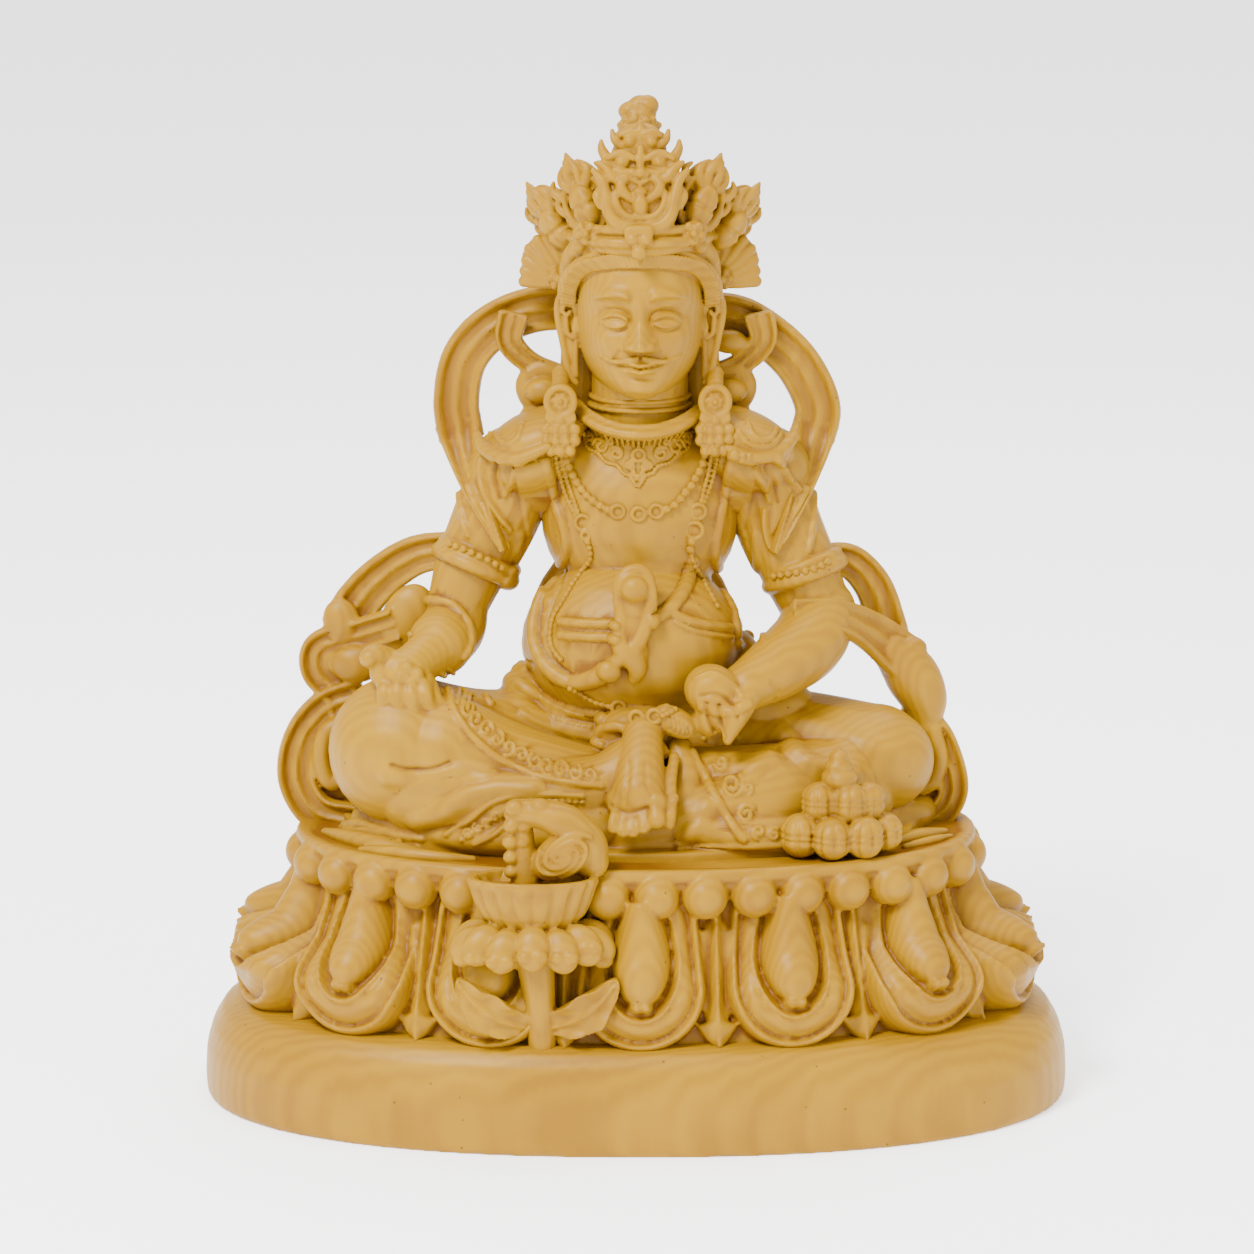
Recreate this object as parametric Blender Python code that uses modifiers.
"""Seated Jambhala carved from one block of boxwood: figure, scarves, lotus throne and plinth are one solid.

The shapes are laid over each other in millimetres, fused into one skin and thinned to a light mesh.
X runs to the viewer's right, -Y faces the viewer and +Z is up. The origin is under the plinth's middle.
"""

import math

import bmesh
import bpy
import numpy as np
from mathutils import Euler, Matrix, Vector
from mathutils.bvhtree import BVHTree

METRES = 0.001  # the shapes below are in millimetres

# Driving dimensions, in millimetres
PLINTH_WIDTH = 115.0
PLINTH_DEPTH = 65.0
PLINTH_HEIGHT = 13.5
THRONE_FOOT_WIDTH = 100.0
THRONE_FOOT_DEPTH = 53.5
THRONE_HEIGHT = 22.5
SEAT_WIDTH = 90.0
SEAT_DEPTH = 51.0
SLAB_HEIGHT = 3.6
BEAD_RADIUS = 2.95
BEAD_COUNT = 35
PETAL_COUNT = 14
PETAL_WIDTH = 16.4
PETAL_THICKNESS = 3.9
FIGURE_HEIGHT = 96.0
LOTUS_STEM_RADIUS = 2.1

# How finely the skin is made and how far it is thinned
SKIN_VOXEL = 0.5
SKIN_TRIANGLES = 9600

# The figure is drawn at this height over the seat, and scaled to FIGURE_HEIGHT
DRAWN_HEIGHT = 96.0
PLINTH_POWER = 2.3
THRONE_POWER = 2.12
SEAT_LEVEL = PLINTH_HEIGHT + THRONE_HEIGHT
BEAD_LEVEL = SEAT_LEVEL - SLAB_HEIGHT


# Curves and ovals


def smooth_path(points, steps=5):
    """Points of a smooth curve through the given points, each of which may carry a radius as a last value."""
    given = np.array(points, float)
    if len(given) < 3:
        shares = np.linspace(0, 1, steps + 1)[:, None]
        return given[0] + (given[-1] - given[0]) * shares
    padded = np.vstack([2 * given[0] - given[1], given, 2 * given[-1] - given[-2]])
    path = []
    for a, b, c, d in zip(padded, padded[1:], padded[2:], padded[3:]):
        for t in np.arange(steps) / steps:
            path.append(
                0.5 * (2 * b + (c - a) * t + (2 * a - 5 * b + 4 * c - d) * t**2
                       + (3 * b - a - 3 * c + d) * t**3)
            )
    path.append(given[-1])
    return np.array(path)


def oval_points(half_width, half_depth, power, count=360):
    """Points evenly spaced along a superellipse, from the front's middle towards the viewer's right."""
    turn = np.linspace(-math.pi / 2, 1.5 * math.pi, 4 * count, endpoint=False)
    c, s = np.cos(turn), np.sin(turn)
    ring = np.stack(
        [half_width * np.sign(c) * np.abs(c) ** (2 / power),
         half_depth * np.sign(s) * np.abs(s) ** (2 / power)], axis=1
    )
    steps = np.linalg.norm(np.roll(ring, -1, axis=0) - ring, axis=1)
    along = np.concatenate([[0], np.cumsum(steps)])
    wanted = np.linspace(0, along[-1], count, endpoint=False)
    closed = np.vstack([ring, ring[:1]])
    return np.stack([np.interp(wanted, along, closed[:, k]) for k in (0, 1)], axis=1)


def oval_place(half_width, half_depth, power, share, level):
    """Where a share of the way round an oval lies, with the direction along it and the one out of it."""
    ring = oval_points(half_width, half_depth, power)
    index = share * len(ring)
    here = [np.interp(index, np.arange(len(ring) + 1), np.append(ring[:, k], ring[0, k])) for k in (0, 1)]
    low, high = int(index) % len(ring), (int(index) + 2) % len(ring)
    along = Vector((*(ring[high] - ring[low]), 0)).normalized()
    return Vector((*here, level)), along, Vector((along.y, -along.x, 0))


# The carver's tools


def unit_ball(rings):
    """Points and faces of a ball of radius 1."""
    work = bmesh.new()
    bmesh.ops.create_uvsphere(work, u_segments=2 * rings, v_segments=rings, radius=1)
    work.verts.index_update()
    points = np.array([v.co for v in work.verts])
    faces = [[v.index for v in face.verts] for face in work.faces]
    work.free()
    return points, faces


class Carving:
    """Closed shapes laid over each other, in millimetres, to be fused into one skin."""

    def __init__(self, sides=10, ball_rings=10, steps=4):
        self.points = []
        self.faces = []
        self.count = 0
        self.splines = []
        self.sides = sides
        self.steps = steps
        self.unit_ball = unit_ball(ball_rings)

    def add(self, points, faces):
        self.points.append(np.asarray(points, float))
        self.faces += [[self.count + k for k in face] for face in faces]
        self.count += len(points)

    def ball(self, centre, radii, turn=(0, 0, 0), place=None):
        radii = (radii,) * 3 if np.isscalar(radii) else radii
        spin = Euler([math.radians(a) for a in turn]).to_matrix().to_4x4()
        matrix = Matrix.Translation(centre) @ spin @ Matrix.Diagonal((*radii, 1))
        matrix = np.array(place @ matrix if place else matrix)
        points, faces = self.unit_ball
        self.add(points @ matrix[:3, :3].T + matrix[:3, 3], faces)

    def limb(self, points, place=None):
        """A round-ended tube through (x, y, z, radius) points."""
        path = smooth_path(points, self.steps)
        if place:
            path = [(*(place @ Vector(p[:3])), p[3]) for p in path]
        self.splines.append(path)
        for x, y, z, radius in (path[0], path[-1]):
            self.ball((x, y, z), radius)

    def cord(self, points, radius, place=None):
        """A round-ended tube of one radius."""
        self.limb([(*p, radius) for p in points], place)

    def solid(self, rings):
        """A skin over rings of equally many points, closed by a fan at each end."""
        count = len(rings[0])
        points = [tuple(p) for ring in rings for p in ring]
        faces = []
        for row in range(len(rings) - 1):
            low, high = row * count, (row + 1) * count
            faces += [(low + k, low + (k + 1) % count, high + (k + 1) % count, high + k)
                      for k in range(count)]
        for ring, first, backwards in ((rings[0], 0, True), (rings[-1], len(points) - count, False)):
            hub = len(points)
            points.append(tuple(sum((Vector(p) for p in ring), Vector((0, 0, 0))) / count))
            for k in range(count):
                here, after = first + k, first + (k + 1) % count
                faces.append((after, here, hub) if backwards else (here, after, hub))
        self.add(points, faces)

    def band(self, points, facing, width, thickness, taper=(1, 1)):
        """A strip of scarf along points, its broad face towards facing, with a rim and a middle rib."""
        path = smooth_path(points, self.steps + 2)
        section = [(-1, 0), (-0.9, 0.9), (-0.72, 0.9), (-0.55, 0.35), (-0.2, 0.35), (0, 0.7), (0.2, 0.35),
                   (0.55, 0.35), (0.72, 0.9), (0.9, 0.9), (1, 0), (0.8, -0.9), (-0.8, -0.9)]
        facings = smooth_path(facing, 8) if np.ndim(facing) > 1 else np.array([facing] * 2, float)
        rings = []
        for k, here in enumerate(path):
            share = k / (len(path) - 1)
            along = Vector(path[min(k + 1, len(path) - 1)] - path[max(k - 1, 0)]).normalized()
            look = Vector([np.interp(share, np.linspace(0, 1, len(facings)), facings[:, i])
                           for i in range(3)])
            across = along.cross(look).normalized()
            look = across.cross(along).normalized()
            scale = taper[0] + (taper[1] - taper[0]) * share
            half = 0.5 * width * scale
            rings.append([Vector(here) + across * (s * half) + look * (t * thickness / 2)
                          for s, t in section])
        self.solid(rings)

    def plate(self, rings_at, heights, swell, back, place):
        """A low relief on a leaf swelling by swell(u, w): heights pairs a share of its outline and a rise."""
        rings = []
        for share, height in heights:
            rings.append([place @ Vector((u, -height - swell(u, w), w)) for u, w in rings_at(share)])
        rings.append([place @ Vector((u, back, w)) for u, w in rings_at(1)])
        self.solid(rings)

    def oval_stack(self, levels, power, count=96):
        """A turned oval: (half width, half depth, level) from the bottom up."""
        self.solid([[Vector((x, y, z)) for x, y in oval_points(a, b, power, count)] for a, b, z in levels])

    def place_all(self, matrix):
        """Moves and scales all that is carved so far."""
        grid = np.array(matrix)
        self.points = [points @ grid[:3, :3].T + grid[:3, 3] for points in self.points]
        scale = matrix.to_scale().x
        self.splines = [[(*(matrix @ Vector(p[:3])), p[3] * scale) for p in path] for path in self.splines]

    def cords(self):
        """The tubes as a curve with a round bevel."""
        curve = bpy.data.curves.new("cords", "CURVE")
        curve.dimensions = "3D"
        curve.bevel_depth = 1
        curve.bevel_resolution = max(0, self.sides // 2 - 2)
        curve.use_fill_caps = True
        for path in self.splines:
            spline = curve.splines.new("POLY")
            spline.points.add(len(path) - 1)
            for point, (x, y, z, radius) in zip(spline.points, path):
                point.co = (x, y, z, 1)
                point.radius = radius
        return curve

    def soup(self, name):
        """All shapes as one mesh, still overlapping."""
        holder = bpy.data.objects.new("cords", self.cords())
        bpy.context.scene.collection.objects.link(holder)
        bpy.context.view_layer.update()
        tubes = bpy.data.meshes.new_from_object(holder.evaluated_get(bpy.context.evaluated_depsgraph_get()))
        bpy.data.objects.remove(holder)
        points = np.vstack([*self.points, [v.co for v in tubes.vertices]])
        faces = self.faces + [[self.count + k for k in face.vertices] for face in tubes.polygons]
        bpy.data.meshes.remove(tubes)
        mesh = bpy.data.meshes.new(name)
        mesh.from_pydata(points.tolist(), [], faces)
        return mesh

    def front(self):
        """A finder for the foremost surface carved so far: front(x, z) gives its y, or None beside it."""
        mesh = self.soup("front_finder")
        tree = BVHTree.FromPolygons([v.co for v in mesh.vertices], [p.vertices for p in mesh.polygons])
        bpy.data.meshes.remove(mesh)

        def find(x, z):
            hit = tree.ray_cast(Vector((x, -200, z)), Vector((0, 1, 0)))[0]
            return hit.y if hit else None

        return find

    def laid(self, front, points, radius, sink=0.0, steps=5):
        """A cord laid on the foremost surface, through (x, z) points seen from the front."""
        path = []
        for x, z in smooth_path(points, steps):
            y = front(x, z)
            if y is not None:
                path.append((x, y + sink, z, radius))
        if len(path) > 1:
            self.splines.append(path)
            for x, y, z, r in (path[0], path[-1]):
                self.ball((x, y, z), r)


# Throne and plinth


def carve_plinth(carving):
    half_width, half_depth = PLINTH_WIDTH / 2, PLINTH_DEPTH / 2
    edge = [(0.5, 0), (0.1, 0.6), (0, 3), (0.2, 6.5), (1.0, 9.3), (2.4, 11.6), (4.4, 13.0), (7.0, 13.5)]
    carving.oval_stack(
        [(half_width - i, half_depth - 0.55 * i, z * PLINTH_HEIGHT / 13.5) for i, z in edge], PLINTH_POWER
    )


def throne_half_sizes(level):
    """Half width and half depth of the throne's core at a level between the plinth and the beads."""
    share = min(1, max(0, (level - PLINTH_HEIGHT) / (BEAD_LEVEL - PLINTH_HEIGHT)))
    neck = 3.0
    return (
        (1 - share) * THRONE_FOOT_WIDTH / 2 + share * (SEAT_WIDTH / 2 - neck),
        (1 - share) * THRONE_FOOT_DEPTH / 2 + share * (SEAT_DEPTH / 2 - neck),
    )


def carve_throne_core(carving):
    sunk = 1.5
    levels = [(*throne_half_sizes(PLINTH_HEIGHT), PLINTH_HEIGHT - sunk)]
    levels += [(*throne_half_sizes(z), z) for z in (PLINTH_HEIGHT, BEAD_LEVEL - 4, BEAD_LEVEL)]
    rim = 0.6
    half_width, half_depth = SEAT_WIDTH / 2, SEAT_DEPTH / 2
    levels += [
        (half_width - 1.0, half_depth - 1.0, BEAD_LEVEL + 1.2),
        (half_width, half_depth, SEAT_LEVEL - 1.4),
        (half_width, half_depth, SEAT_LEVEL - 0.4),
        (half_width - rim, half_depth - rim, SEAT_LEVEL),
        (half_width - 2.2, half_depth - 2.2, SEAT_LEVEL - 0.3),
    ]
    carving.oval_stack(levels, THRONE_POWER)


def carve_beads(carving):
    for k in range(BEAD_COUNT):
        centre, _, _ = oval_place(SEAT_WIDTH / 2 - 1.4, SEAT_DEPTH / 2 - 0.9, THRONE_POWER,
                                  (k + 0.4) / BEAD_COUNT, BEAD_LEVEL)
        carving.ball(centre, BEAD_RADIUS)


def petal_outline(share, half_width, height):
    """A ring of a petal: egg-shaped round its boss, U-shaped at its edge."""
    ring = []
    bend = min(half_width, 0.9 * height)
    for k in range(28):
        angle = 2 * math.pi * k / 28
        c, s = math.cos(angle), math.sin(angle)
        hub = 0.6 * height
        egg_u = 0.38 * half_width * c * (1 - 0.35 * max(0, s))
        egg_w = hub + height * s * (0.25 if s < 0 else 0.35)
        if s < 0:
            edge_u, edge_w = half_width * c, bend + bend * s
        else:
            edge_u = half_width * max(-1, min(1, 1.35 * c)) * (1 - 0.14 * s)
            edge_w = bend + (height - bend) * min(1, 1.35 * s)
        if share < 0.5:
            ring.append((egg_u * share / 0.5, hub + (egg_w - hub) * share / 0.5))
        else:
            blend = (share - 0.5) / 0.5
            ring.append((egg_u + (edge_u - egg_u) * blend, egg_w + (edge_w - egg_w) * blend))
    return ring


def petal_heights():
    """Height of a petal's rings: egg-shaped boss, groove, broad roll, groove and thin rim."""
    full = PETAL_THICKNESS
    boss = [(s, full * (0.2 + 0.8 * math.sqrt(max(0, 1 - (s / 0.5) ** 2))))
            for s in (0.05, 0.15, 0.28, 0.38, 0.46)]
    band = [(0.52, 0.12 * full), (0.60, 0.4 * full), (0.70, 0.52 * full), (0.80, 0.4 * full),
            (0.85, 0.15 * full)]
    rim = [(0.89, 0.3 * full), (0.95, 0.34 * full), (1.0, 0.1 * full)]
    return boss + band + rim


def petal_swell(share):
    """How far a petal bulges at a share of its height, in petal thicknesses."""
    return np.interp(share, (0, 0.14, 0.22, 0.3, 0.4, 0.5, 0.62, 0.8, 1),
                     (0.1, 0.7, 1.2, 1.3, 0.95, 0.4, -0.25, -0.4, -0.3))


def petal_place(share):
    """A frame on the throne's flank, the slope's length and a bend: u is along it, w up it, -v out of it.

    The bend is how far a petal's edges lie back from its middle, where they follow the oval round.
    """
    reach = 1.3 * PETAL_THICKNESS
    foot_half, top_half = throne_half_sizes(PLINTH_HEIGHT), throne_half_sizes(BEAD_LEVEL)
    edge, along, out = oval_place(foot_half[0] + reach, foot_half[1] + reach, PLINTH_POWER, share,
                                  PLINTH_HEIGHT - 0.8)
    lean = abs(out.x) * (foot_half[0] - top_half[0]) + abs(out.y) * (foot_half[1] - top_half[1])
    rise = BEAD_LEVEL - 0.2 - PLINTH_HEIGHT
    up = (Vector((0, 0, rise)) - out * lean).normalized()
    face = along.cross(up).normalized()
    frame = Matrix((along, -face, up)).transposed().to_4x4()
    step = 0.5 / PETAL_COUNT
    before, after = (
        oval_place(foot_half[0], foot_half[1], THRONE_POWER, (share + side) % 1, PLINTH_HEIGHT)[2]
        for side in (-step, step)
    )
    bend = PETAL_WIDTH / 2 * math.tan(before.angle(after) / 4)
    return Matrix.Translation(edge - out * (reach - 0.8)) @ frame, math.hypot(rise, lean), bend


def carve_petals(carving):
    half_width = PETAL_WIDTH / 2
    for k in range(PETAL_COUNT):
        place, height, bend = petal_place((k + 0.03) / PETAL_COUNT)
        splay = PETAL_THICKNESS * (0.26 + 0.74 * abs(place[1][0]))
        carving.plate(
            lambda share: petal_outline(share, half_width, height),
            petal_heights(),
            lambda u, w: splay * petal_swell(w / height) - 1.25 * bend * (u / half_width) ** 2,
            5.0,
            place,
        )
        tip = 0.33
        out = 0.6 * PETAL_THICKNESS + splay * petal_swell(tip)
        carving.ball((0, -out, tip * height), (1.2, 1.0, 0.8), place=place)
    for k in range(PETAL_COUNT):
        place, height, bend = petal_place((k + 0.53) / PETAL_COUNT)
        carve_sepal(carving, place @ Matrix.Translation((0, 0.5 * bend, 0)), height)


def carve_sepal(carving, place, height):
    """The pointed leaf that shows between two petals."""
    half = [(0, 0), (1.4, 1.5), (2.7, 3.4), (1.3, 3.7), (0.9, 6.5), (0.7, height - 1), (0, height)]
    outline = half + [(-u, w) for u, w in half[-2:0:-1]]
    ridge = [(u * 0.1, w) for u, w in outline]
    rings = [[place @ Vector((u, -1.7, w)) for u, w in ridge]]
    rings.append([place @ Vector((u, -0.5, w)) for u, w in outline])
    rings.append([place @ Vector((u, 5.0, w)) for u, w in outline])
    carving.solid(rings)


# The figure: every number from here on is in the drawn figure, with z from the seat


def carve_torso(carving):
    carving.ball((-0.6, 4, 12), (18.4, 12, 11))
    carving.ball((-0.4, 0.2, 24.3), (14.3, 10.8, 12.0))
    carving.ball((0.5, 3.4, 41), (12.6, 8.6, 12.5))
    carving.ball((0.5, 4.2, 46.5), (15.5, 7.2, 6.5))
    carving.limb([(1.2, 4, 36, 8.4), (1.2, 3.5, 30, 9.0)])
    carving.ball((-13.5, 2, 16.5), (4.6, 5, 5))
    carving.ball((12.5, 2, 20), (4.6, 5, 6))
    carving.limb([(0.5, 3.4, 50, 7.4), (0.5, 2.4, 56, 6.3), (0.5, 1.8, 60, 6.2)])
    carving.limb([(-16, 5, 46.6, 6.0), (17, 5, 46.6, 6.0)])
    carving.ball((-0.5, 9.5, 22), (14, 7, 16))


def carve_arms(carving):
    carving.limb([(-16.3, 5, 46.5, 5.8), (-18.9, 4.4, 40, 5.5), (-21.7, 3.4, 34, 4.9), (-23.6, 2.6, 29, 4.1)])
    carving.limb([(-23.4, 2.4, 29, 4.0), (-24.1, 1.4, 26.2, 4.3), (-25.7, -2.5, 24.8, 4.3)])
    carving.limb([(-25.2, -2.5, 24.8, 3.7), (-28.2, -6.5, 23.4, 3.0), (-29.5, -8, 22.4, 3.2)])
    carving.limb([(16.9, 5, 46.5, 5.8), (18.8, 4.4, 40, 5.5), (21.4, 3.4, 34, 5.2), (23.8, 2.8, 28.5, 4.6)])
    carving.limb([(24.3, 2.6, 28, 4.8), (22.6, -1.5, 25.0, 5.0), (18.6, -6, 22.6, 4.4),
                  (14.2, -9.5, 20.6, 3.3)])


def carve_armlets(carving):
    """The sleeve hems above the elbows, each a sloping ring with a row of studs over it."""
    for centre, lean in (((-21.4, 3.4, 34.2), 24), ((22.3, 3.4, 33.0), -20)):
        tilt = Euler((math.radians(-8), math.radians(lean), 0)).to_matrix().to_4x4()
        spin = Matrix.Translation(centre) @ tilt
        for radius, lift, thick in ((5.7, 0, 0.95), (5.7, 1.4, 0.6)):
            ring = [(0.9 * radius * math.cos(a), radius * math.sin(a), lift)
                    for a in np.linspace(0, 2 * math.pi, 17)]
            carving.cord(ring, thick, place=spin)


def carve_right_hand(carving):
    """The open hand on the knee at the viewer's left, palm out, with a fruit in it."""
    carving.ball((-30.2, -8.6, 22.2), (3.9, 2.9, 3.6), turn=(20, 20, 0))
    carving.limb([(-32.6, -9, 24.3, 1.7), (-34.3, -9.8, 24.0, 1.6), (-34.4, -10.6, 22.6, 1.3)])
    for x, tip, z in ((-32.3, -31.8, 16.9), (-30.6, -29.9, 16.2), (-28.8, -27.9, 16.0), (-27.2, -26.0, 16.6)):
        carving.limb([(x, -10.2, 21.0, 1.25), (x + 0.2, -11.4, 18.6, 1.15), (tip, -11.2, z, 1.0)])
    carving.ball((-28.9, -11.6, 20.8), (1.9, 1.5, 1.7))


def carve_left_hand(carving):
    """The closed hand at the viewer's right, holding a mongoose whose head looks out to the left."""
    carving.ball((10.7, -11.3, 21.2), (4.0, 3.2, 3.9), turn=(0, 20, 0))
    carving.limb([(12.8, -11.2, 19.4, 2.5), (12.4, -13.2, 16.6, 2.1), (11.4, -14.0, 14.2, 1.2)])
    carving.limb([(9.0, -12.6, 19.8, 2.0), (9.4, -13.6, 17.4, 1.7), (10.2, -13.9, 15.6, 1.2)])
    carving.ball((5.6, -12.8, 16.6), (3.2, 2.2, 2.1), turn=(0, 28, 0))
    carving.ball((3.4, -13.0, 17.9), (1.5, 1.4, 1.3))


def carve_legs(carving):
    carving.limb([(-7, 3, 9.6, 8.8), (-20, -1.5, 10.4, 8.0), (-30.5, -6, 12.0, 9.4)])
    carving.ball((-30.6, -6.6, 11.6), (9.7, 8.6, 9.9))
    carving.limb([(-28, -9, 7, 6.2), (-16, -13, 6.5, 5.6), (-5, -14.5, 8.5, 4.2), (0, -14, 12, 3.4)])
    carving.limb([(8, 3.5, 9, 9.0), (20, 1, 9.6, 8.3), (31.5, -1.5, 9.1, 7.3)])
    carving.ball((17.5, 0, 16.0), (6.5, 5, 4.2), turn=(0, 8, 0))
    carving.ball((31.0, -1.5, 9.0), (8.4, 7.6, 7.2))
    carving.limb([(29, -5, 5.6, 5.2), (18, -10, 5.6, 5.6), (8, -13.5, 4.6, 4.2), (4, -14, 3.4, 3.2)])
    carving.ball((0, 6, 3), (33, 13, 5.5))


def carve_foot(carving):
    """The foot that hangs to the seat in the middle."""
    carving.limb([(1.2, -13.2, 15.5, 2.9), (0.9, -15.6, 12.2, 3.2), (0.6, -18.2, 8.4, 3.6)])
    carving.ball((0.6, -18.6, 7.2), (4.4, 2.6, 3.4), turn=(-35, 0, 0))
    for x, z, r in ((-3.2, 4.6, 1.0), (-1.6, 4.0, 1.05), (0.2, 3.8, 1.1), (2.0, 4.2, 1.2), (4.0, 5.2, 1.6)):
        carving.limb([(x * 0.85 + 0.1, -19.4, z + 2.8, r), (x, -21.0, z, r)])


def carve_seat_cloth(carving):
    """The robe's lower layer, spread over the seat, and the cloth between the legs."""
    def hem(share):
        ring = []
        for k in range(48):
            angle = 2 * math.pi * k / 48
            wave = 1 + 0.02 * math.sin(7 * angle) + 0.012 * math.sin(13 * angle + 1)
            ring.append((39.0 * wave * share * math.cos(angle), 1 + 20.5 * wave * share * math.sin(angle)))
        return ring

    for share, level in ((1.0, 0.9), (0.9, 1.9)):
        carving.solid([[Vector((x, y, z)) for x, y in hem(share)] for z in (-1.5, level)])
    carving.ball((0, -8, 3), (15, 10, 4.5))
    carving.ball((14, -10, 2.5), (15, 8.5, 4.2), turn=(0, 6, 8))
    carving.ball((-15, -12, 2.5), (14, 7, 3.8), turn=(0, -4, -8))


# Head and crown


def carve_head(carving):
    carving.ball((0.5, 1.5, 69.0), (8.7, 9.4, 11.4))
    carving.ball((0.5, -0.2, 64.0), (7.6, 7.6, 7.2))
    carving.ball((0.5, -2.6, 60.2), (4.2, 4.4, 3.0))
    for side in (-1, 1):
        x = 0.5 + side * 9.0
        carving.limb([(x - side * 0.8, 1.6, 70.0, 1.0), (x + side * 0.9, 1.8, 69.6, 0.9),
                      (x + side * 1.1, 2, 66.6, 0.8),
                      (x + side * 0.6, 2, 63, 0.9), (x - side * 0.2, 1.6, 59.4, 1.1)])
        carving.ball((x, 2.2, 65.5), (1.0, 1.2, 5.0))
        carving.limb([(x - side * 1.4, 4, 67, 2.2), (x - side * 1.2, 3.4, 60, 2.4),
                      (x - side * 0.6, 2.6, 53, 2.6)])
    carving.ball((0.5, 4.5, 76), (8.8, 8.8, 8.5))


def carve_headband(carving):
    for level, radius, reach in ((79.1, 0.95, 8.7), (76.9, 0.95, 9.5)):
        ring = [(0.5 + reach * math.sin(a), 1.4 - (reach + 0.7) * math.cos(a), level) for a in
                np.linspace(0, 2 * math.pi, 25)]
        carving.cord(ring, radius)
    carving.ball((0.3, -8.6, 78.2), (2.1, 1.4, 1.5))
    carving.ball((0.3, -9.6, 76.4), (1.3, 1.0, 1.3))
    arc = [(-7.8, -1.2, 68.4), (-7.4, -3.6, 71.6), (-5.2, -5.8, 74.2), (0.5, -7.6, 75.4), (6.2, -5.8, 74.2),
           (8.4, -3.6, 71.6), (8.8, -1.2, 68.4)]
    carving.cord(arc, 0.7)


def crown_place(spread, lean, foot, turn):
    """A leaf's frame standing on foot, leaning by spread sideways and lean forwards, turned on its height."""
    spin = Euler((math.radians(lean), math.radians(spread), 0)).to_matrix() @ Euler(
        (0, 0, math.radians(turn))).to_matrix()
    return Matrix.Translation(foot) @ spin.to_4x4()


def carve_jewel_leaf(carving, place, height):
    """A crown leaf: an egg-shaped jewel in a flaming, pointed setting."""
    k = height / 11
    carving.ball((0, 1.1 * k, 5.2 * k), (3.3 * k, 1.5 * k, 5.2 * k), place=place)
    carving.ball((0, -0.4 * k, 4.0 * k), (2.3 * k, 2.1 * k, 3.5 * k), place=place)
    carving.limb([(0, 0.6 * k, 7 * k, 2.3 * k), (0, 0.6 * k, 9 * k, 1.4 * k),
                  (0, 0.4 * k, 11 * k, 0.5 * k)], place)
    for side in (-1, 1):
        for level, reach in ((2.6, 3.0), (5.2, 3.7), (7.8, 3.0)):
            tip = ((reach * side * k, 0.3 * k, (level + 1.4) * k, 0.45 * k))
            carving.limb([(1.8 * side * k, 0.9 * k, (level - 1) * k, 0.9 * k),
                          (2.9 * side * k, 0.5 * k, level * k, 0.9 * k),
                          tip], place)


def carve_centre_leaf(carving):
    """The tall front leaf: curling tendrils round a small jewel, with four round studs above it."""
    place = crown_place(0, -6, (0.5, -6.2, 80.0), 0) @ Matrix.Diagonal((1, 1, 0.78, 1))
    carving.ball((0, 1.2, 6.0), (5.6, 2.0, 6.6), place=place)
    carving.ball((0, 1.8, 11), (3.6, 2.0, 4.5), place=place)
    for side in (-1, 1):
        carving.limb([(0, -0.6, 0.6, 1.0), (3.0 * side, -0.8, 1.6, 1.1), (5.2 * side, -0.4, 4.8, 1.1),
                      (5.8 * side, 0.2, 8.2, 0.7), (6.6 * side, 0.2, 9.2, 0.6)], place)
        carving.limb([(1.0 * side, -1.0, 2.4, 0.7), (3.0 * side, -1.0, 3.8, 0.7),
                      (3.9 * side, -0.8, 6.4, 0.4)], place)
        carving.limb([(1.3 * side, -0.8, 5.0, 0.7), (2.6 * side, -0.8, 6.4, 0.7),
                      (3.6 * side, -0.6, 8.8, 0.6),
                      (4.8 * side, -0.2, 9.8, 0.5)], place)
        carving.ball((2.7 * side, -0.2, 9.8), (1.3, 1.2, 1.0), turn=(0, 30 * side, 0), place=place)
        carving.limb([(2.8 * side, 0.8, 10.4, 1.0), (4.4 * side, 0.6, 10.9, 0.9),
                      (5.5 * side, 0.4, 11.3, 0.6)], place)
        carving.ball((1.65 * side, -0.4, 12.6), (1.25, 1.2, 1.3), place=place)
        carving.limb([(2.6 * side, 1.0, 13.2, 1.2), (4.2 * side, 0.8, 13.9, 0.9),
                      (5.4 * side, 0.6, 14.8, 0.6)], place)
    carving.ball((0, -1.0, 3.6), (1.5, 1.0, 2.6), place=place)
    carving.ball((0, -1.2, 7.0), (1.2, 0.9, 1.0), place=place)
    carving.ball((0, -0.9, 8.8), (0.9, 0.9, 1.3), place=place)
    carving.limb([(0, 0.6, 10, 1.3), (0, 0.8, 14, 1.4), (0, 1.2, 16.6, 0.8)], place)


def carve_topknot(carving):
    carving.limb([(0.5, 2.8, 78, 6.5), (0.5, 3.0, 86, 4.6), (0.4, 3.2, 90.5, 2.9)])
    carving.limb([(0.3, 3.2, 88, 2.9), (0.2, 3.2, 91.4, 2.8)])
    for k in range(8):
        a = 2 * math.pi * k / 8
        carving.ball((0.4 + 2.3 * math.sin(a), 3.2 - 2.3 * math.cos(a), 91.2), 0.85)
    carving.ball((0.4, 3.2, 93.0), (2.5, 2.4, 1.9), turn=(0, 10, 0))
    carving.ball((-0.7, 3.0, 94.3), (1.7, 1.6, 1.6))
    carving.ball((1.6, 3.0, 94.6), (1.7, 1.6, 1.5))


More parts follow.
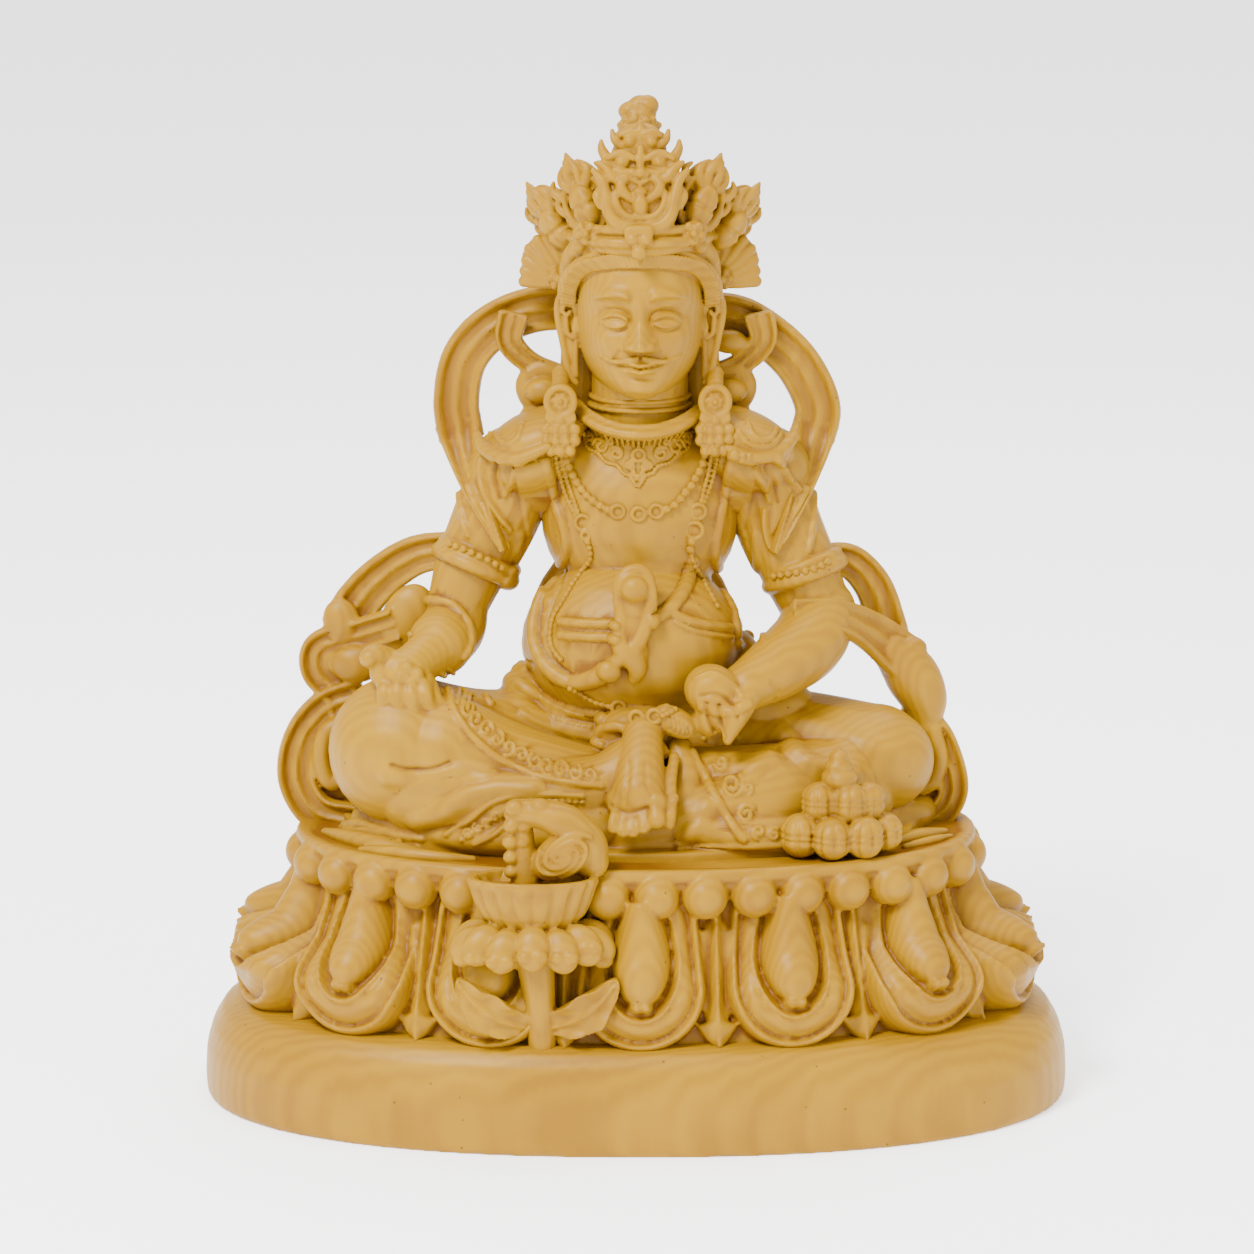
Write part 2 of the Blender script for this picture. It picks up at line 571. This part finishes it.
def carve_side_fan(carving, side):
    """The pleated fan behind each temple."""
    root = Vector((0.5 + side * 8.6, 3.2, 71.0))
    carving.ball(root + Vector((side * 2.6, 0.8, 4.6)), (3.6, 2.2, 2.6))
    for k, (reach, rise) in enumerate(((6.8, 5.9), (6.9, 4.3), (6.6, 2.8), (6.2, 1.4), (5.6, 0.2))):
        tip = root + Vector((side * reach, 1.6 - 0.3 * k, rise))
        middle = (root + tip) / 2 + Vector((0, -0.4, 0))
        carving.limb([(*root, 0.9), (*middle, 1.15), (*tip, 0.8)])
    carving.ball(root + Vector((side * 2.2, -1.0, 0.6)), (1.9, 1.3, 1.6))


def carve_crown(carving):
    carve_headband(carving)
    carve_centre_leaf(carving)
    for side in (-1, 1):
        inner = crown_place(side * 25, -8, (0.9 + side * 5.6, -3.6, 79.0), side * 24)
        carve_jewel_leaf(carving, inner, 10.8)
        outer = crown_place(side * 40, -2, (0.9 + side * 8.4, 1.4, 76.2), side * 44)
        carve_jewel_leaf(carving, outer, 10.6)
        carving.ball((0.5 + side * 6.6, -4.4, 78.4), (1.5, 1.4, 1.5))
        carving.ball((0.5 + side * 9.0, -1.4, 74.6), (1.6, 1.5, 2.0))
        carve_side_fan(carving, side)
    carve_topknot(carving)


# Scarves and ties


def carve_scarves(carving):
    front = (0, -1, 0)
    carving.band([(-5, 9, 67.4), (-12.6, 8, 67.6), (-18.6, 7.6, 65.4), (-22.5, 7.4, 61.2), (-23.7, 7.4, 55.4),
                  (-22.8, 7, 49.4), (-19.8, 4.6, 44.2), (-18.0, 0, 39.5), (-16.6, -2.2, 35.0)],
                 front, 6.2, 2.6)
    carving.band([(6, 9, 66.4), (12.2, 8, 66.6), (16.6, 7.6, 64.6), (21.2, 7.4, 60.4), (23.9, 7.4, 54.8),
                  (23.0, 7, 49.4), (19.8, 4.6, 44.4), (19.0, 0, 39.5), (18.2, -2.2, 35.0)], front, 6.2, 2.6)
    # at the viewer's left, down to the seat
    carving.band([(-23.5, 5, 36.0), (-29.0, 6, 35.0), (-33.4, 6.4, 32.2), (-36.8, 6, 28.6),
                  (-38.8, 5.4, 24.8)],
                 front, 6.2, 2.6, taper=(0.8, 1.1))
    carving.ball((-39.0, 4.6, 26.2), (2.5, 1.6, 3.2), turn=(0, -12, 0))
    carving.ball((-30.2, 3.4, 26.6), (3.6, 2.0, 5.2), turn=(0, 20, 0))
    carving.ball((-37.0, 3.6, 20.8), (3.4, 1.8, 2.6))
    carving.band([(-31.5, 2, 26.6), (-36.6, 4, 24.6), (-41.8, 4.6, 22.8), (-42.2, 4.8, 19.4),
                  (-39.0, 5, 16.2),
                  (-38.6, 5, 12.6)], front, 4.6, 2.6)
    carving.band([(-36.0, 4.6, 16.4), (-41.0, 4.6, 14.6), (-44.4, 4.4, 10.4), (-45.2, 4, 5.0),
                  (-42.4, 3, 0.6),
                  (-36.6, 2, -0.6)], front, 5.2, 3.0)
    carving.cord([(-38.6, 3.6, 13.0), (-41.2, 3, 11.4), (-41.8, 2.8, 7.8), (-40.6, 2.8, 4.8),
                  (-38.2, 2.8, 6.4)], 1.2)
    carving.ball((-39.0, 5.0, 6.0), (4.6, 1.6, 6.0))
    # at the viewer's right
    carving.band([(24.0, 4, 34.8), (28.2, 6, 34.2), (31.4, 6.4, 30.8), (33.0, 6, 26.2), (34.0, 5, 21.6)],
                 front, 5.4, 2.6, taper=(0.8, 1.1))
    carving.band([(20.5, -3.5, 29.0), (26.2, -1.6, 28.2), (31.0, 1.6, 25.4), (35.4, 3.6, 21.6)],
                 (0, -0.8, 0.6),
                 6.4, 2.4, taper=(0.6, 1.1))
    carving.ball((36.4, 4, 22.8), (2.2, 1.8, 1.6))
    carving.limb([(33.8, 4, 22.4, 2.6), (36.4, 4, 19.4, 3.6), (38.2, 4, 16.0, 3.2), (38.6, 4, 13.0, 2.2)])
    carving.band([(35.0, 4, 13.6), (39.2, 4, 12.0), (41.4, 3.6, 8.0), (42.2, 3.4, 3.4), (40.0, 2.8, 0.2),
                  (36.0, 2, 0.0)], front, 4.2, 3.0)
    carving.cord([(39.4, 2.6, 12.0), (40.4, 2.6, 8.4), (39.6, 2.6, 5.2), (38.0, 2.6, 4.0)], 1.1)
    carving.ball((38.4, 4.6, 6.0), (3.6, 1.6, 6.0))


def carve_ties(carving):
    """The small knotted ribbons that curl out between the ears and the big loops."""
    front = (0, -1, 0)
    for side, dx in ((-1, 0.6), (1, -0.6)):
        carving.band([(side * 16.6 + dx, 5, 67.4), (side * 17.2 + dx, 5.4, 63.8), (side * 14.6 + dx, 6, 60.8),
                      (side * 10.4 + dx, 6, 59.2)], front, 2.8, 2.4, taper=(1.5, 0.9))
        carving.cord([(side * 10.4 + dx, 6, 59.4), (side * 13.8 + dx, 6, 59.8), (side * 15.4 + dx, 6, 57.8),
                      (side * 14.4 + dx, 6, 55.4), (side * 11.4 + dx, 5.6, 55.0)], 1.1)
        carving.ball((side * 12.0 + dx, 6, 53.0), (4.2, 2.0, 3.0))
        carving.ball((side * 12.8 + dx, 4.4, 57.2), (2.4, 1.5, 1.7))
    carving.ball((12.2, 5.4, 63.6), (2.4, 1.5, 1.6))


def carve_earrings(carving):
    """A ring over a cluster of small balls, on each shoulder."""
    for side in (-1, 1):
        x = 0.2 + side * 10.0
        ring = [(x + 1.6 * math.cos(a), -4.4, 57.2 + 1.8 * math.sin(a))
                for a in np.linspace(0, 2 * math.pi, 13)]
        carving.cord(ring, 0.65)
        carving.ball((x, -2.8, 56.6), (2.4, 2.0, 2.8))
        carving.limb([(x, 1, 60, 1.2), (x, -1.6, 58.4, 1.3)])
        for row, level in enumerate((54.6, 52.8, 51.0)):
            for k in (-1, 0, 1):
                carving.ball((x + 1.7 * k + 0.1 * row, -4.2 - 0.3 * row, level), (1.1, 1.2, 1.05))
        carving.ball((x, -2.6, 52.8), (2.4, 2.4, 3.4))


def carve_collar(carving):
    """The rolled choker and the cloud-shaped collar over each shoulder."""
    carving.cord([(-8.4, 1.4, 55.0), (-6.6, -2.6, 54.0), (-3.4, -5.2, 53.2), (0.5, -6.2, 52.8),
                  (4.4, -5.2, 53.2),
                  (7.6, -2.6, 54.0), (9.4, 1.4, 55.0)], 1.25)
    for side in (-1, 1):
        x = 0.5
        carving.ball((x + side * 13.6 - 0.3, 2.0, 51.0 - side * 0.5), (6.8, 6.6, 4.3), turn=(0, side * 25, 0))
        carving.limb([(x + side * 10.8, -4.6, 47.6, 1.0), (x + side * 14.4, -4.4, 47.4, 1.3),
                      (x + side * 18.0, -2.2, 47.2, 1.4), (x + side * 20.2, 1.6, 48.2, 1.3),
                      (x + side * 19.6, 4.6, 51.4, 1.1)])


def carve_robe_lines(carving):
    """Folds, hems and sashes laid on the body as seen from the front."""
    front = carving.front()
    # open edges of the jacket
    carving.laid(front, [(-11.6, 49), (-10.6, 42), (-10.4, 36.5), (-12.2, 31.5), (-13.8, 27), (-13.2, 22.5),
                         (-9.6, 20.4), (-5.4, 21.2), (-2.4, 23.4)], 1.2, sink=0.4)
    carving.laid(front, [(12.0, 49), (11.4, 42), (11.0, 36), (12.2, 31), (13.4, 26)], 1.1, sink=0.4)
    # sash and its knot
    carving.laid(front, [(7.4, 36), (6.6, 31.5), (4.0, 28.6), (1.2, 27.4)], 1.0, sink=0.3)
    carving.laid(front, [(-9.4, 28.0), (-3, 28.0)], 0.6, sink=0.1)
    carving.laid(front, [(-9.4, 26.2), (-3, 26.2)], 0.6, sink=0.1)
    carving.laid(front, [(4.6, 29), (8, 27.4), (12, 26.2)], 0.9, sink=0.3)
    y = front(0, 30) or -10
    carving.limb([(0.2, y - 0.8, 32.8, 1.9), (0.1, y - 0.9, 32.0, 1.8)])
    carving.limb([(-2.0, y, 32.4, 0.9), (-2.2, y - 0.6, 29.4, 1.1), (-1.2, y - 0.8, 26.4, 1.5),
                  (0.4, y - 0.8, 23.6, 1.7),
                  (1.6, y - 0.2, 21.4, 1.4)])
    carving.limb([(2.2, y, 32.4, 0.9), (2.2, y - 0.6, 29, 1.1), (0.8, y - 0.9, 26, 1.0),
                  (-1.6, y - 0.4, 23.6, 1.0)])
    # belt
    for drop in (0, 2.0):
        carving.laid(front, [(-15.4, 18.6 - drop), (-10.5, 16.4 - drop), (-4.6, 15.0 - drop),
                             (-1.5, 14.6 - drop)],
                     0.75, sink=0.2)
    carving.laid(front, [(-8.4, 18.9), (-4.4, 17.6), (0, 17.4), (5.0, 18.0), (8.4, 19.4)], 0.7, sink=0.0)
    # folds over the knee and shin at the viewer's left
    carving.laid(front, [(-22, 19.0), (-17.6, 14.0), (-12.4, 10.4), (-7.2, 9.2), (-3.4, 9.4)], 0.8, sink=0.3)
    carving.laid(front, [(-25.6, 18.2), (-20.6, 12.0), (-15.4, 8.2), (-9.4, 6.6), (-4.4, 7.2)], 0.8, sink=0.3)
    carving.laid(front, [(-17.4, 17.0), (-12.0, 12.8), (-7.0, 11.4), (-3.0, 11.8)], 0.7, sink=0.3)
    carving.laid(front, [(-27.6, 8.2), (-22.4, 6.8), (-17.6, 6.2), (-14.4, 4.4), (-12.0, 2.0)], 0.9, sink=0.4)
    carving.laid(front, [(-26.4, 1.0), (-21.4, 3.4), (-17.4, 5.6), (-14.2, 7.4)], 0.8, sink=0.3)
    # folds in the lap and over the shin at the viewer's right
    carving.laid(front, [(7.6, 13.4), (9.4, 8.6), (12.2, 4.6), (15.6, 2.0)], 1.0, sink=0.3)
    carving.laid(front, [(9.8, 13.4), (11.6, 9.6), (14.2, 6.2), (18.6, 3.0)], 0.8, sink=0.3)
    carving.laid(front, [(16.6, 13.4), (21.0, 10.0), (24.8, 5.6)], 0.9, sink=0.5)
    carving.laid(front, [(4.4, 13.6), (5.2, 10.0), (5.6, 6.0)], 1.0, sink=0.3)
    # sleeves
    carving.laid(front, [(-19.6, 46), (-18.4, 42), (-16.6, 37.6), (-14.8, 33.6)], 0.8, sink=0.2)
    carving.laid(front, [(20.4, 46), (19.6, 42), (18.2, 38), (16.8, 34)], 0.8, sink=0.2)


def carve_figure(carving):
    carve_torso(carving)
    carve_arms(carving)
    carve_armlets(carving)
    carve_legs(carving)
    carve_seat_cloth(carving)
    carve_foot(carving)
    carve_right_hand(carving)
    carve_left_hand(carving)
    carve_head(carving)
    carve_robe_lines(carving)
    carve_collar(carving)
    carve_crown(carving)
    carve_scarves(carving)
    carve_ties(carving)
    carve_earrings(carving)


# Offerings in front of the figure


def carve_jewel_pile(carving):
    """Melon-shaped jewels heaped on the seat."""
    spots = [(20.6, -17.6, 2.6, 2.6), (24.4, -18.6, 2.4, 2.5), (28.4, -18.0, 2.5, 2.6),
             (31.4, -15.6, 2.4, 2.5),
             (26.0, -14.6, 2.6, 2.6), (23.8, -16.6, 6.4, 2.5), (27.4, -16.8, 6.4, 2.6),
             (29.6, -15.0, 6.2, 2.4),
             (26.2, -16.0, 9.6, 2.2)]
    for x, y, z, r in spots:
        carving.ball((x, y, z), (r, r, r * 1.05))
    carving.limb([(26.1, -16, 11.2, 1.3), (26.0, -16, 13.0, 0.6)])


def carve_lotus_stand(carving):
    """The small lotus on a stem in front of the throne, with a conch in it. Its levels are from the floor."""
    x, y = -13.2, -28.2
    foot, rim = PLINTH_HEIGHT - 1.5, SEAT_LEVEL - 0.6
    span = rim - foot
    r = LOTUS_STEM_RADIUS
    carving.limb([(x + 1.2, y + 1.4, foot, r), (x + 0.9, y + 0.2, foot + 0.3 * span, r * 0.95),
                  (x + 0.2, y + 0.2, foot + 0.7 * span, r * 0.9)])
    carving.ball((x, y + 0.8, foot + 0.62 * span), (3.4, 2.8, 2.4))
    for k in range(11):
        a = math.radians(-110 + 22 * k)
        out = Vector((math.sin(a), -math.cos(a), 0))
        low, top = foot + 0.56 * span, foot + 0.80 * span
        middle = (low + top) / 2 + 0.8
        carving.limb([(x + out.x * 3.2, y + 1 + out.y * 1.8, top, 1.2),
                      (x + out.x * 7.2, y + 1 + out.y * 3.2, middle, 1.6),
                      (x + out.x * 9.4, y + 1 + out.y * 3.8, low + 0.6, 1.1)])
        carving.limb([(x + out.x * 5.2, y + 1 + out.y * 2.6, top, 1.5),
                      (x + out.x * 8.0, y + 1 + out.y * 3.8, rim - 0.4, 0.9)])
    carving.ball((x, y + 1.2, rim - 1.4), (7.6, 4.0, 2.2))
    for side in (-1, 1):
        carving.limb([(x + 0.8 + side * 1.4, y + 1.4, foot + 0.12 * span, 0.8),
                      (x + side * 4.2, y + 0.6, foot + 0.30 * span, 1.5),
                      (x + side * 7.0, y + 0.6, foot + 0.44 * span, 1.6),
                      (x + side * 9.4, y + 0.8, foot + 0.52 * span, 0.6)])
    conch_level = SEAT_LEVEL
    carving.limb([(x - 2.2, y + 2.2, conch_level + 8.0, 1.9), (x + 1.4, y + 2.2, conch_level + 7.6, 2.0),
                  (x + 5.4, y + 2.4, conch_level + 5.4, 2.6), (x + 7.2, y + 2.8, conch_level + 2.2, 2.8)])
    carving.ball((x + 4.0, y + 1.2, conch_level + 2.8), (4.4, 2.4, 2.9), turn=(0, -35, 0))
    carving.limb([(x - 2.4, y + 1.8, conch_level + 7, 1.4), (x - 2.3, y + 1.6, conch_level + 3.4, 1.6),
                  (x - 1.8, y + 1.8, conch_level - 1, 1.8)])


# From overlapping shapes to one light solid


def fused(mesh, voxel, rounds):
    """One skin over overlapping shapes, softened a little."""
    blank = bpy.data.objects.new("blank", mesh)
    bpy.context.scene.collection.objects.link(blank)
    skin = blank.modifiers.new("Skin", "REMESH")
    skin.mode = "VOXEL"
    skin.voxel_size = voxel
    soften = blank.modifiers.new("Soften", "SMOOTH")
    soften.factor = 0.5
    soften.iterations = rounds
    bpy.context.view_layer.update()
    result = bpy.data.meshes.new_from_object(blank.evaluated_get(bpy.context.evaluated_depsgraph_get()))
    bpy.data.objects.remove(blank)
    return result


def keep_largest(mesh):
    """Deletes every loose piece but the largest, such as the skin of a hollow left inside."""
    work = bmesh.new()
    work.from_mesh(mesh)
    work.verts.ensure_lookup_table()
    seen, groups = set(), []
    for start in work.verts:
        if start.index in seen:
            continue
        seen.add(start.index)
        group, queue = [start], [start]
        while queue:
            for edge in queue.pop().link_edges:
                for vert in edge.verts:
                    if vert.index not in seen:
                        seen.add(vert.index)
                        group.append(vert)
                        queue.append(vert)
        groups.append(group)
    groups.sort(key=len)
    bmesh.ops.delete(work, geom=[v for group in groups[:-1] for v in group], context="VERTS")
    work.to_mesh(mesh)
    work.free()


def flatten_underside(mesh):
    """Makes the face that the plinth stands on flat again."""
    points = np.empty((len(mesh.vertices), 3), np.float32)
    normals = np.empty((len(mesh.vertices), 3), np.float32)
    mesh.vertices.foreach_get("co", points.ravel())
    mesh.vertices.foreach_get("normal", normals.ravel())
    points[(points[:, 2] < SKIN_VOXEL) & (normals[:, 2] < -0.8), 2] = 0
    mesh.vertices.foreach_set("co", points.ravel())


def boxwood():
    """Pale honey-yellow boxwood with a satin polish."""
    material = bpy.data.materials.new("boxwood")
    material.use_nodes = True
    shader = material.node_tree.nodes["Principled BSDF"]
    shader.inputs["Base Color"].default_value = (0.79, 0.52, 0.20, 1)
    shader.inputs["Roughness"].default_value = 0.42
    return material


def main():
    for leftover in list(bpy.data.objects):
        bpy.data.objects.remove(leftover)
    figure = Carving()
    carve_figure(figure)
    carve_jewel_pile(figure)
    scale = FIGURE_HEIGHT / DRAWN_HEIGHT
    figure.place_all(Matrix.Translation((0, 0, SEAT_LEVEL)) @ Matrix.Scale(scale, 4))
    carve_plinth(figure)
    carve_throne_core(figure)
    carve_beads(figure)
    carve_petals(figure)
    carve_lotus_stand(figure)
    skin = fused(figure.soup("carving"), SKIN_VOXEL, 1)
    keep_largest(skin)
    flatten_underside(skin)
    skin.transform(Matrix.Scale(METRES, 4))
    skin.materials.clear()
    skin.materials.append(boxwood())
    skin.name = "jambhala_statue"
    statue = bpy.data.objects.new("jambhala_statue", skin)
    home = bpy.data.collections.new("jambhala")
    bpy.context.scene.collection.children.link(home)
    home.objects.link(statue)
    thin = statue.modifiers.new("Thin", "DECIMATE")
    thin.ratio = SKIN_TRIANGLES / (2 * len(skin.polygons))
    thin.use_collapse_triangulate = True
    skin.shade_smooth()


main()
